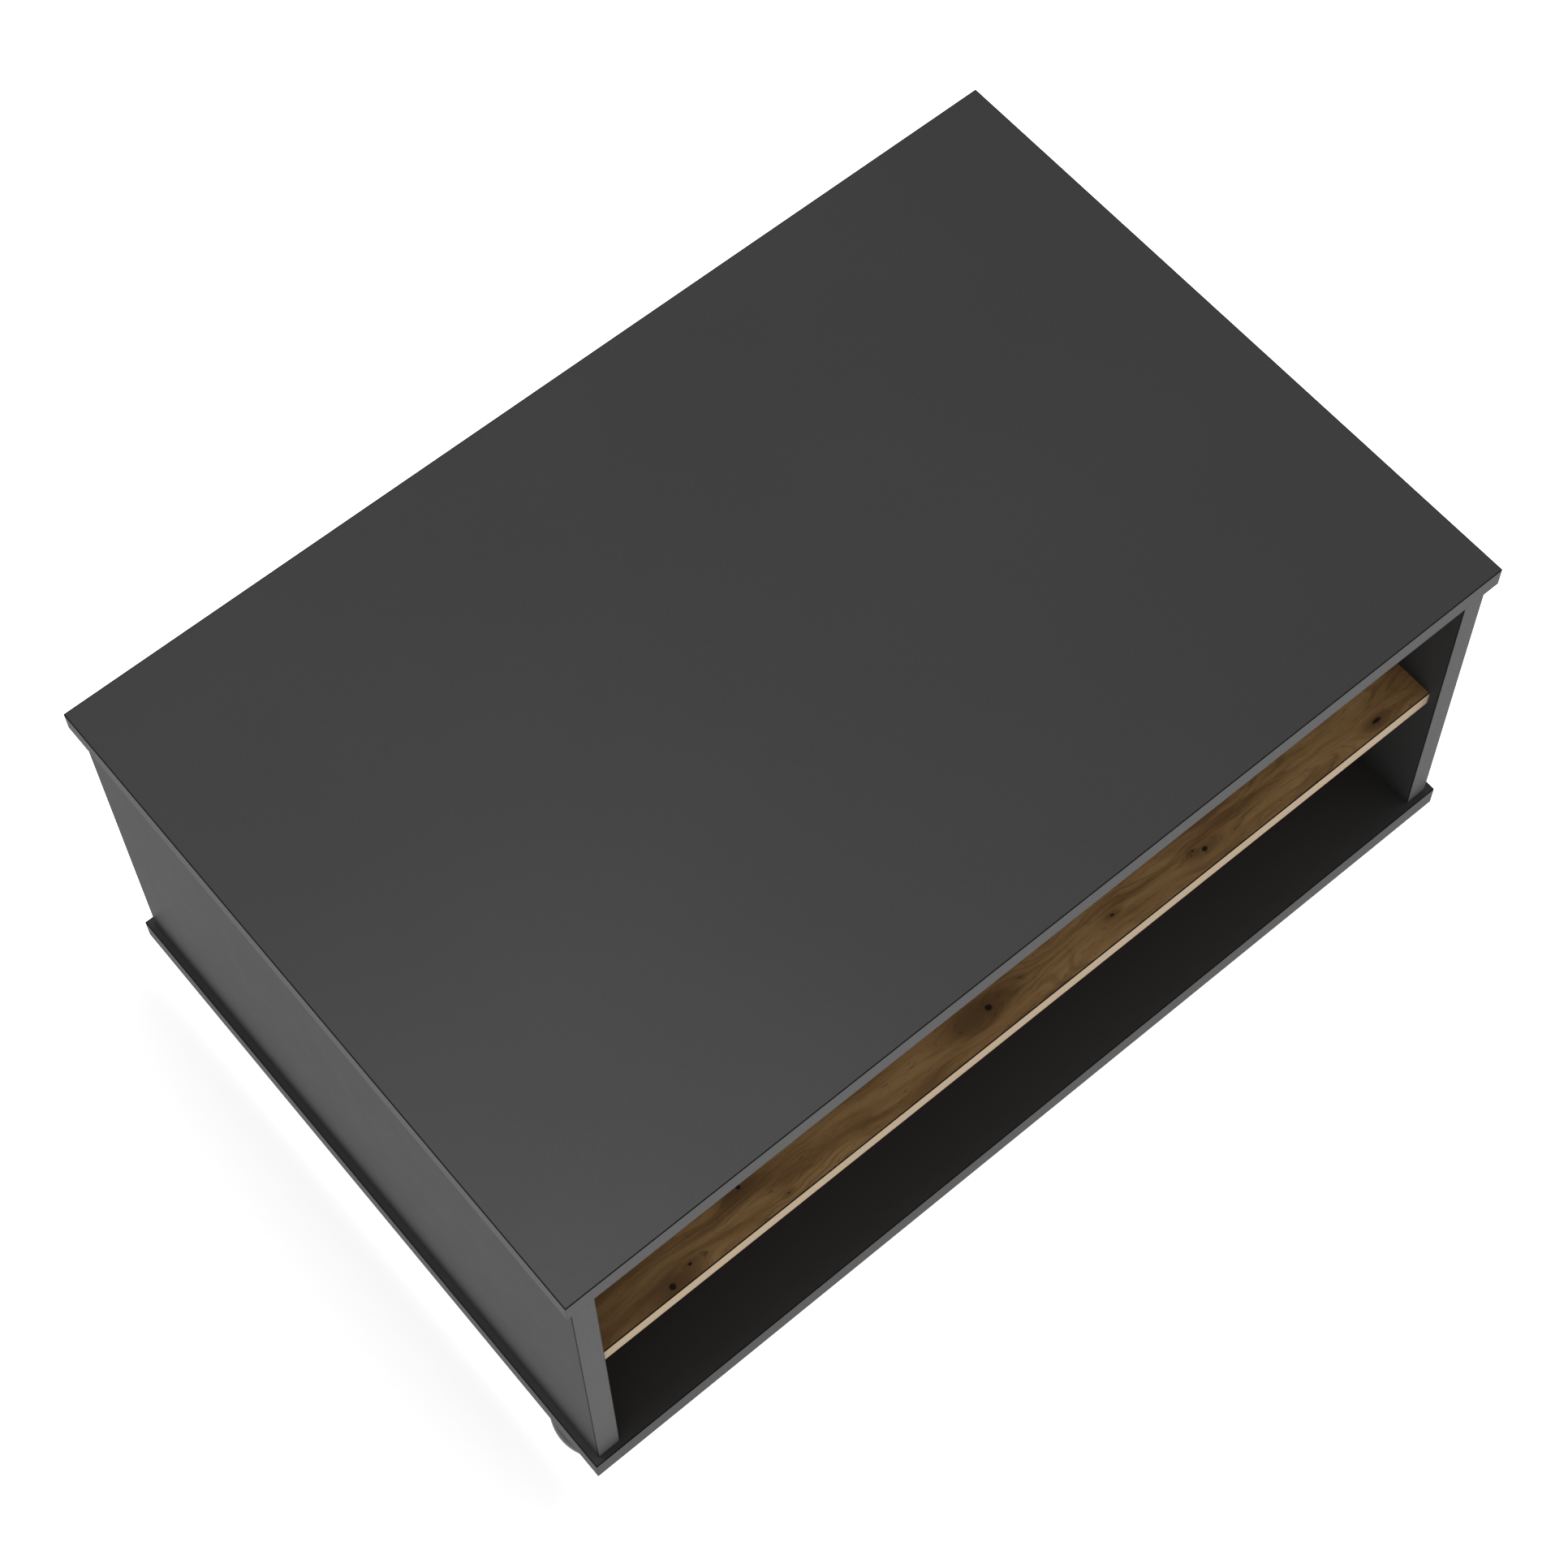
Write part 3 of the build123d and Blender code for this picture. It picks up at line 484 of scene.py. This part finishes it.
def foot_lacquer():
    """Grey lacquer over turned wood: faint turning rings and grain showing through."""
    look = Finish("grey foot lacquer")
    base = colours().foot
    ring = look.noise(look.scaled((8.0, 8.0, 900.0)), 2.0, 0.5)
    grain = look.noise(look.scaled((60.0, 60.0, 9.0)), 4.0, 0.6)
    face = look.mix(look.spread(grain, 0.35, 0.65), shaded(base, 0.9), shaded(base, 1.06))
    rough = look.spread(grain, 0.3, 0.7, 0.30, 0.38)
    look.set(Base_Color=face, Roughness=rough, Specular_IOR_Level=0.25)
    look.bump(ring, surfaces().turning_depth)
    return look


def powder_coat():
    """Black powder coat: orange peel, and brighter where it has been handled."""
    look = Finish("black powder coat")
    base = colours().steel
    peel = look.noise(look.scaled([1700.0] * 3), 3.0, 0.55)
    wear = look.noise(look.scaled([55.0] * 3), 4.0, 0.65)
    face = look.mix(look.spread(wear, 0.45, 0.75), opaque(base), shaded(base, 1.9))
    look.set(Base_Color=face, Roughness=look.spread(wear, 0.3, 0.7, 0.52, 0.38), IOR=1.5)
    look.bump(peel, surfaces().peel_depth)
    return look


def plated(name, base, roughness, grain, depth):
    """Plated or bare metal: patchy tone, fine scratches and uneven gloss."""
    look = Finish(name)
    patch = look.noise(look.scaled([90.0] * 3), 4.0, 0.6)
    scratch = look.noise(look.scaled((grain, grain * 0.2, grain)), 3.0, 0.6)
    face = look.mix(look.spread(patch, 0.3, 0.7), shaded(base, 0.86), shaded(base, 1.08))
    rough = look.spread(scratch, 0.3, 0.7, roughness - 0.07, roughness + 0.09)
    look.set(Base_Color=face, Metallic=1.0, Roughness=rough)
    look.bump(scratch, depth)
    return look


def nylon():
    """Natural nylon: milky, a little translucent, with a moulded grain."""
    look = Finish("natural nylon")
    grain = look.noise(look.scaled([1200.0] * 3), 2.0, 0.5)
    tone = look.noise(look.scaled([60.0] * 3), 3.0, 0.5)
    face = look.mix(tone, opaque(colours().nylon_dark), opaque(colours().nylon_light))
    look.set(Base_Color=face, Roughness=look.spread(grain, 0.3, 0.7, 0.42, 0.52))
    look.bump(grain, 0.02 * MM)
    return look


def rubber():
    """Black rubber: matt, with a dusty bloom."""
    look = Finish("black rubber")
    bloom = look.noise(look.scaled([120.0] * 3), 5.0, 0.65)
    grain = look.noise(look.scaled([1600.0] * 3), 2.0, 0.5)
    dust = opaque(colours().rubber_bloom)
    face = look.mix(look.spread(bloom, 0.4, 0.8), opaque(colours().rubber), dust)
    look.set(Base_Color=face, Roughness=look.spread(bloom, 0.3, 0.7, 0.72, 0.88))
    look.bump(grain, 0.03 * MM)
    return look


def beech():
    """Raw beech of the dowels: pale wood with short flecks."""
    look = Finish("raw beech")
    fleck = look.noise(look.scaled((300.0, 900.0, 300.0)), 3.0, 0.6)
    tone = look.noise(look.scaled([40.0] * 3), 3.0, 0.5)
    face = look.mix(tone, opaque(colours().beech_dark), opaque(colours().beech_light))
    marks = look.spread(fleck, 0.58, 0.72, 0.0, 0.7)
    face = look.mix(marks, face, opaque(colours().beech_fleck))
    look.set(Base_Color=face, Roughness=0.68)
    look.bump(fleck, surfaces().fleck_depth)
    return look


# Spring wire, matched to the CAD arms and brackets
COIL_RADIUS = 8.5 * MM
COIL_GAP = 3.0 * MM
STEPS_PER_TURN = 28
TAIL_LEAD = 0.35
TAIL_ANGLE = math.pi / 2
ARM_REST_ANGLE = math.radians(10.0)
LEG_LENGTH = 40.0 * MM
WIRE_BEND = 3.0 * MM
WIRE_SIDES = 14
DOME_SHARES = (0.8, 0.45)


# Mesh work -------------------------------------------------------------------------------------


def rounded_route(points, radius, steps=6):
    """A route with each inner corner turned into a short arc of points."""
    route = [points[0]]
    for before, corner, after in zip(points, points[1:], points[2:]):
        enter = (before - corner).normalized()
        leave = (after - corner).normalized()
        cut = min(radius, (before - corner).length / 2, (after - corner).length / 2)
        start, end = corner + enter * cut, corner + leave * cut
        for step in range(steps + 1):
            t = step / steps
            route.append(start * (1 - t) ** 2 + corner * 2 * t * (1 - t) + end * t * t)
    return route + [points[-1]]


def wire_mesh(name, route, radius, sides=WIRE_SIDES):
    """A round wire along a route, with domed ends and no twist."""
    tangents = []
    for before, after in zip([route[0]] + route[:-1], route[1:] + [route[-1]]):
        tangents.append((after - before).normalized())
    across = tangents[0].orthogonal().normalized()
    rings = []
    for point, tangent in zip(route, tangents):
        across = (across - tangent * across.dot(tangent)).normalized()
        rings.append((point, tangent, across, radius))
    first, last = rings[0], rings[-1]
    for share_in in DOME_SHARES:
        step = radius * math.sqrt(1 - share_in**2)
        cap_in = (first[0] - first[1] * step, first[1], first[2], radius * share_in)
        cap_out = (last[0] + last[1] * step, last[1], last[2], radius * share_in)
        rings.insert(0, cap_in)
        rings.append(cap_out)
    points, faces = [], []
    for point, tangent, across, size in rings:
        up = tangent.cross(across)
        for side in range(sides):
            turn = 2 * math.pi * side / sides
            points.append(point + (across * math.cos(turn) + up * math.sin(turn)) * size)
    for ring in range(len(rings) - 1):
        for side in range(sides):
            a, b = ring * sides + side, ring * sides + (side + 1) % sides
            faces.append((a, b, b + sides, a + sides))
    faces.append(tuple(reversed(range(sides))))
    faces.append(tuple(range((len(rings) - 1) * sides, len(rings) * sides)))
    mesh = bpy.data.meshes.new(name)
    mesh.from_pydata(points, [], faces)
    mesh.shade_smooth()
    piece = bpy.data.objects.new(name, mesh)
    bpy.context.collection.objects.link(piece)
    return piece


def spring_route(side):
    """The wire of one torsion spring, and where its turns start and end.

    The tail goes through the pin, the turns go round it, and the leg runs along the arm to its hook.
    side is 1 on the right and -1 on the left.
    """
    lift = next(joint for joint in frame["joints"] if joint["name"] == "lift")
    _, pivot_y, pivot_z = lift["pos_m"]
    name = "right" if side > 0 else "left"
    box = [Vector(corner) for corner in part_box(f"{name}_lift_spring")]
    arm = [Vector(corner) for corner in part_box(f"{name}_front_arm")]
    xs = sorted(abs(corner.x) for corner in box)
    arm_inner = min(abs(corner.x) for corner in arm)
    wire = surfaces().spring_wire / 2
    tail_x, hook_x = xs[0] + wire, xs[1] - wire * 0.5
    turns_end = arm_inner - COIL_GAP - wire
    turns_start = tail_x + wire
    leg_angle = ARM_REST_ANGLE - math.pi / 2
    whole_turns = surfaces().spring_turns * 2 * math.pi
    sweep = -whole_turns - (TAIL_ANGLE - leg_angle) % (2 * math.pi)

    def at(x, angle, radius=COIL_RADIUS):
        y = pivot_y + radius * math.cos(angle)
        z = pivot_z + radius * math.sin(angle)
        return Vector((side * x, y, z))

    tail = [at(tail_x, TAIL_ANGLE + math.pi), at(tail_x, TAIL_ANGLE, COIL_RADIUS * 0.7)]
    steps = surfaces().spring_turns * STEPS_PER_TURN
    coil = []
    for step in range(steps + 1):
        t = step / steps
        x = turns_start + (turns_end - turns_start) * t
        coil.append(at(x, TAIL_ANGLE - TAIL_LEAD + (sweep + TAIL_LEAD) * t))
    along = Vector((0, math.cos(ARM_REST_ANGLE), math.sin(ARM_REST_ANGLE)))
    leg_end = coil[-1] + along * LEG_LENGTH
    hook_end = Vector((side * hook_x, leg_end.y, leg_end.z))
    start = rounded_route([tail[0], tail[1], coil[0], coil[1]], WIRE_BEND)
    finish = rounded_route([coil[-2], coil[-1], leg_end, hook_end], WIRE_BEND)
    return start[:-1] + coil[1:-2] + finish, (turns_start, turns_end, pivot_y, pivot_z)


# Operators: one for each piece or group of like pieces -----------------------------------------


class LIFTTABLE_OT_boards(bpy.types.Operator):
    """Finish the graphite boards: top, base, sides and back"""

    bl_idname = "lift_table.boards"
    bl_label = "Graphite boards"

    def execute(self, context):
        dress(BOARDS, graphite_laminate())
        return {"FINISHED"}


class LIFTTABLE_OT_edge_bands(bpy.types.Operator):
    """Finish the graphite edge bands of the plates and the sides"""

    bl_idname = "lift_table.edge_bands"
    bl_label = "Edge bands"

    def execute(self, context):
        edge = colours().graphite_edge
        # The base's bands take the darker base edge colour: painted shade from the floor close below
        # them.
        for name, base in ((TOP_BAND, edge), (BASE_BAND, colours().base_edge)):
            levels = [corner[2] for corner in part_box(name)]
            dress([name], banding(name.replace("_", " "), base, 0, [(2, levels)]))
        side_low, side_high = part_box("right_side_panel")
        rims = [(0, [side_low[0], side_high[0]]), (2, [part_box(SIDE_BANDS)[1][2]])]
        dress([SIDE_BANDS], banding("side edge band", edge, 2, rims))
        return {"FINISHED"}


class LIFTTABLE_OT_shelf(bpy.types.Operator):
    """Finish the oak shelf and its pale front band"""

    bl_idname = "lift_table.shelf"
    bl_label = "Oak shelf"

    def execute(self, context):
        dress([SHELF], oak_decor())
        levels = [corner[2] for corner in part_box(SHELF_BAND)]
        band = banding("oak edge band", colours().oak_edge, 0, [(2, levels)])
        dress([SHELF_BAND], band)
        return {"FINISHED"}


class LIFTTABLE_OT_feet(bpy.types.Operator):
    """Finish the turned feet"""

    bl_idname = "lift_table.feet"
    bl_label = "Feet"

    def execute(self, context):
        dress(FEET, foot_lacquer())
        return {"FINISHED"}


class LIFTTABLE_OT_lift_steel(bpy.types.Operator):
    """Finish the lift's arms, brackets and cross tube"""

    bl_idname = "lift_table.lift_steel"
    bl_label = "Lift arms and brackets"

    def execute(self, context):
        dress(STEEL_PARTS, powder_coat())
        return {"FINISHED"}


class LIFTTABLE_OT_fittings(bpy.types.Operator):
    """Finish the pins, screws, cams, bushes, buffers, glides and dowels"""

    bl_idname = "lift_table.fittings"
    bl_label = "Fittings"

    def execute(self, context):
        zinc = colours().zinc
        dress(ZINC_PARTS, plated("zinc plate", zinc, 0.32, 900.0, 0.01 * MM))
        dress(CAST_PARTS, plated("cast zinc", [c * 0.8 for c in zinc], 0.5, 1400.0, 0.04 * MM))
        dress(NYLON_PARTS, nylon())
        dress(RUBBER_PARTS, rubber())
        dress(DOWELS, beech())
        return {"FINISHED"}


class LIFTTABLE_OT_springs(bpy.types.Operator):
    """Wind the two torsion springs"""

    bl_idname = "lift_table.springs"
    bl_label = "Lift springs"

    def execute(self, context):
        wire = plated("spring wire", colours().spring, 0.36, 700.0, 0.01 * MM)
        for side, name in ((1, "right"), (-1, "left")):
            route, (inner, outer, y, z) = spring_route(side)
            piece = wire_mesh(f"{name}_spring_wire", route, surfaces().spring_wire / 2)
            piece.data.materials.append(wire.material)
            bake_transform(piece)
            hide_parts(f"{name}_lift_spring")
        return {"FINISHED"}


# How far the floor's light takes to change: at the table's left side, at its front corner, and
# under the table.
GLOW_EDGE = 0.04
GLOW_CORNER = 0.10
SHADE_EDGE = 0.06
FLOOR_DROP = 0.2 * MM


def soft_box(name, place, target, size, power):
    """A square soft box that faces a target."""
    lamp = bpy.data.lights.new(name, "AREA")
    lamp.shape = "SQUARE"
    lamp.size = size
    lamp.energy = power
    made = bpy.data.objects.new(name, lamp)
    made.location = place
    aim = Vector(target) - Vector(place)
    made.rotation_euler = aim.to_track_quat("-Z", "Y").to_euler()
    bpy.context.collection.objects.link(made)


class LIFTTABLE_OT_stage(bpy.types.Operator):
    """Lay the floor, and set the soft light and the camera"""

    bl_idname = "lift_table.stage"
    bl_label = "Studio"

    def execute(self, context):
        studio = context.scene.lift_table_studio
        self.lay_floor(studio)
        self.set_lights(context, studio)
        self.set_camera(context, studio)
        return {"FINISHED"}

    def lay_floor(self, studio):
        """A pale floor just under the glides."""
        half = studio.floor_size / 2
        square = ((-half, -half), (half, -half), (half, half), (-half, half))
        corners = [(x, y, -FLOOR_DROP) for x, y in square]
        mesh = bpy.data.meshes.new("studio_floor")
        mesh.from_pydata(corners, [], [(0, 1, 2, 3)])
        floor = bpy.data.objects.new("studio_floor", mesh)
        bpy.context.collection.objects.link(floor)
        look = Finish("studio floor")
        tone = look.noise(look.scaled((1.2, 1.2, 1.2)), 2.0, 0.5)
        base = studio.floor_colour
        face = look.mix(tone, shaded(base, 0.995), shaded(base, 1.005))
        look.set(Base_Color=face, Roughness=0.9, Specular_IOR_Level=0.1)
        glow = self.floor_light(look, studio)
        look.set(Emission_Color=(1.0, 1.0, 1.0, 1.0), Emission_Strength=glow)
        mesh.materials.append(look.material)

    def floor_light(self, look, studio):
        """Light from below: even all round, weaker at the left side and none under the table."""
        x, y, _ = look.axes()
        _, (right, back, _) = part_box("base_edge_bands")
        at_left = look.spread(x, -right + GLOW_EDGE, -right - GLOW_EDGE)
        behind_front = look.spread(y, -back - GLOW_CORNER, -back + GLOW_EDGE)
        beside = look.maths("MULTIPLY", at_left, behind_front)
        glow = look.spread(beside, 0.0, 1.0, studio.floor_glow, studio.left_glow)
        in_width = look.spread(look.maths("ABSOLUTE", x), right, right - SHADE_EDGE)
        in_depth = look.spread(look.maths("ABSOLUTE", y), back, back - SHADE_EDGE)
        under = look.maths("MULTIPLY", in_width, in_depth)
        return look.maths("MULTIPLY", glow, look.maths("SUBTRACT", 1.0, under))

    def set_lights(self, context, studio):
        """White light all round that changes towards the zenith, and a soft box overhead."""
        world = bpy.data.worlds.new("studio sky")
        world.use_nodes = True
        tree = world.node_tree
        heading = tree.nodes.new("ShaderNodeTexCoord")
        split = tree.nodes.new("ShaderNodeSeparateXYZ")
        rise = tree.nodes.new("ShaderNodeMapRange")
        rise.inputs["To Min"].default_value = studio.sky_low
        rise.inputs["To Max"].default_value = studio.sky_high
        sky = tree.nodes["Background"]
        sky.inputs["Color"].default_value = (1.0, 1.0, 1.0, 1.0)
        tree.links.new(heading.outputs["Generated"], split.inputs[0])
        tree.links.new(split.outputs["Z"], rise.inputs["Value"])
        tree.links.new(rise.outputs["Result"], sky.inputs["Strength"])
        context.scene.world = world
        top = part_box("top_panel")[1][2]
        x, y = studio.overhead_x, studio.overhead_y
        place = (x, y, top + studio.overhead_height)
        size, power = studio.overhead_size, studio.overhead
        soft_box("overhead soft box", place, (x, y, top), size, power)
        context.scene.view_settings.view_transform = "Standard"

    def set_camera(self, context, studio):
        """Look down at the table's near left corner."""
        heading, fall = studio.azimuth, studio.elevation
        level = Vector((math.sin(heading), math.cos(heading), 0))
        look = level * math.cos(fall) - Vector((0, 0, math.sin(fall)))
        aim = Vector((studio.aim_x, studio.aim_y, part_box("top_panel")[1][2]))
        lens = bpy.data.cameras.new("studio camera")
        lens.sensor_width = 36.0
        lens.lens = studio.lens
        lens.shift_x, lens.shift_y = studio.shift_x, studio.shift_y
        lens.clip_start, lens.clip_end = 0.05, 60.0
        camera = bpy.data.objects.new("studio camera", lens)
        upright = look.to_track_quat("-Z", "Y").to_matrix().to_4x4()
        turn = upright @ Matrix.Rotation(studio.roll, 4, "Z")
        camera.matrix_world = Matrix.Translation(aim - look * studio.camera_distance) @ turn
        context.collection.objects.link(camera)
        context.scene.camera = camera


# In the order they are run
STEPS = (
    LIFTTABLE_OT_stage,
    LIFTTABLE_OT_boards,
    LIFTTABLE_OT_edge_bands,
    LIFTTABLE_OT_shelf,
    LIFTTABLE_OT_feet,
    LIFTTABLE_OT_lift_steel,
    LIFTTABLE_OT_fittings,
    LIFTTABLE_OT_springs,
)


class LIFTTABLE_PT_sidebar(bpy.types.Panel):
    """Lists the steps that dress the table"""

    bl_idname = "LIFTTABLE_PT_sidebar"
    bl_label = "Lift Top Coffee Table"
    bl_space_type = "VIEW_3D"
    bl_region_type = "UI"
    bl_category = "Lift Table"

    def draw(self, context):
        for step in STEPS:
            self.layout.operator(step.bl_idname)
        for settings in ("lift_table_colours", "lift_table_surfaces", "lift_table_studio"):
            group = getattr(context.scene, settings)
            column = self.layout.column()
            for name in group.__annotations__:
                column.prop(group, name)


GROUPS = {
    "lift_table_colours": TableColours,
    "lift_table_surfaces": TableSurfaces,
    "lift_table_studio": TableStudio,
}


def register():
    for group in GROUPS.values():
        bpy.utils.register_class(group)
    for step in (*STEPS, LIFTTABLE_PT_sidebar):
        bpy.utils.register_class(step)
    for name, group in GROUPS.items():
        setattr(bpy.types.Scene, name, PointerProperty(type=group))


def unregister():
    for name in GROUPS:
        delattr(bpy.types.Scene, name)
    for step in (LIFTTABLE_PT_sidebar, *reversed(STEPS)):
        bpy.utils.unregister_class(step)
    for group in GROUPS.values():
        bpy.utils.unregister_class(group)


def main():
    """Build everything in order."""
    register()
    for step in STEPS:
        area, name = step.bl_idname.split(".")
        getattr(getattr(bpy.ops, area), name)()


if __name__ == "__main__":
    main()
